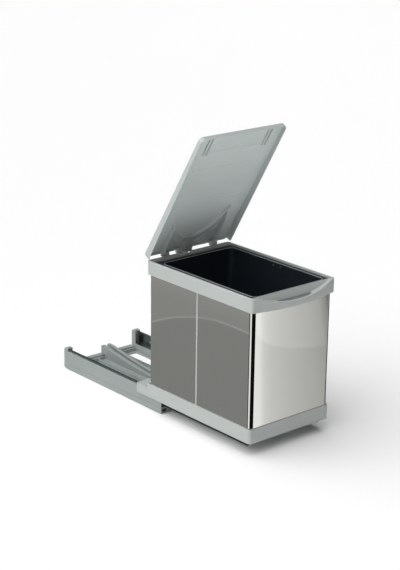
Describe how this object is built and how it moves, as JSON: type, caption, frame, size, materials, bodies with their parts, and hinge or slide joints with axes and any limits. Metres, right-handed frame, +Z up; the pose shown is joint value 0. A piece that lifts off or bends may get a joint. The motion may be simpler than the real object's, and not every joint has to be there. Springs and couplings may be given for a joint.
{
  "type": "pull-out waste bin",
  "caption": "Pull-out waste bin for a kitchen base cabinet: steel-clad tub on ball slides over a low floor frame, its lid lifted by a rod as it is drawn out.",
  "frame": {"origin": "on the underside of the floor frame, on the solid middle strip that stands on the cabinet floor, 527 mm behind the rim's front face with the bin drawn out", "axes": "+Z up, +X to the right seen from the kitchen, -Y out of the cabinet towards the kitchen"},
  "size_m": [0.2614, 0.7475, 0.7154],
  "materials": {
    "grey_plastic": "light grey moulded, fine grain",
    "frame_plastic": "mid grey moulded, fine grain",
    "lid_plastic": "light grey moulded, fine grain",
    "anthracite_plastic": "blue-black moulded, satin",
    "black_plastic": "black acetal",
    "polished_steel": "polished stainless sheet",
    "zinc_steel": "zinc plated",
    "bright_steel": "bright plated",
    "black_rubber": "matt"
  },
  "bodies": {
    "base": {"floor_frame": "frame_plastic", "left_side_rail": "frame_plastic", "left_rear_cap": "frame_plastic", "left_outer_slide": "zinc_steel", "left_slide_buffer": "black_rubber", "left_rail_screw_1": "bright_steel", "left_rail_screw_2": "bright_steel", "left_floor_screw": "bright_steel", "right_side_rail": "frame_plastic", "right_rear_cap": "frame_plastic", "right_outer_slide": "zinc_steel", "right_slide_buffer": "black_rubber", "right_rail_screw_1": "bright_steel", "right_rail_screw_2": "bright_steel", "right_floor_screw": "bright_steel", "cam_track": "frame_plastic"},
    "ball_cages": {"left_ball_cage": "zinc_steel", "right_ball_cage": "zinc_steel"},
    "carriage": {"tray": "grey_plastic", "left_inner_slide": "zinc_steel", "left_slide_screw_1": "bright_steel", "left_slide_screw_2": "bright_steel", "left_seam_strip": "grey_plastic", "right_inner_slide": "zinc_steel", "right_slide_screw_1": "bright_steel", "right_slide_screw_2": "bright_steel", "right_seam_strip": "grey_plastic", "front_wrap": "polished_steel", "rear_wrap": "polished_steel", "top_rim": "grey_plastic", "liner_bin": "anthracite_plastic", "left_hinge_pin": "bright_steel", "centre_hinge_pin": "bright_steel", "right_hinge_pin": "bright_steel", "opening_spring": "bright_steel", "upper_rod_guide": "black_plastic", "upper_guide_screw_left": "bright_steel", "upper_guide_screw_right": "bright_steel", "lower_rod_guide": "black_plastic", "lower_guide_screw_left": "bright_steel", "lower_guide_screw_right": "bright_steel"},
    "lid": {"lid_shell": "lid_plastic", "lid_lever": "lid_plastic", "crank_pin": "bright_steel"},
    "push_rod_body": {"push_rod": "grey_plastic", "roller_axle": "bright_steel"},
    "track_rollers": {"left_roller": "black_plastic", "right_roller": "black_plastic"}
  },
  "joints": [
    {"name": "bin_slide", "type": "slide", "parent": "base", "child": "carriage", "axis": [0, 1, 0], "range_m": [0, 0.29]},
    {"name": "ball_cage_slide", "type": "slide", "parent": "base", "child": "ball_cages", "axis": [0, 1, 0], "range_m": [0, 0.145]},
    {"name": "lid_hinge", "type": "hinge", "parent": "carriage", "child": "lid", "pos_m": [0, -0.156, 0.3888], "axis": [1, 0, 0], "range_deg": [0, 59.4]},
    {"name": "rod_lift", "type": "slide", "parent": "carriage", "child": "push_rod_body", "axis": [0, 0, 1], "range_m": [0, 0.0296]},
    {"name": "roller_spin", "type": "hinge", "parent": "push_rod_body", "child": "track_rollers", "pos_m": [0, -0.13, 0.0116], "axis": [1, 0, 0], "continuous": true}
  ],
  "couplings": [
    {"joint": "ball_cage_slide", "follows": "bin_slide", "ratio": 0.5},
    {"joint": "lid_hinge", "follows": "bin_slide", "rad_per_m": 3.5747},
    {"joint": "rod_lift", "follows": "bin_slide", "ratio": 0.102}
  ]
}
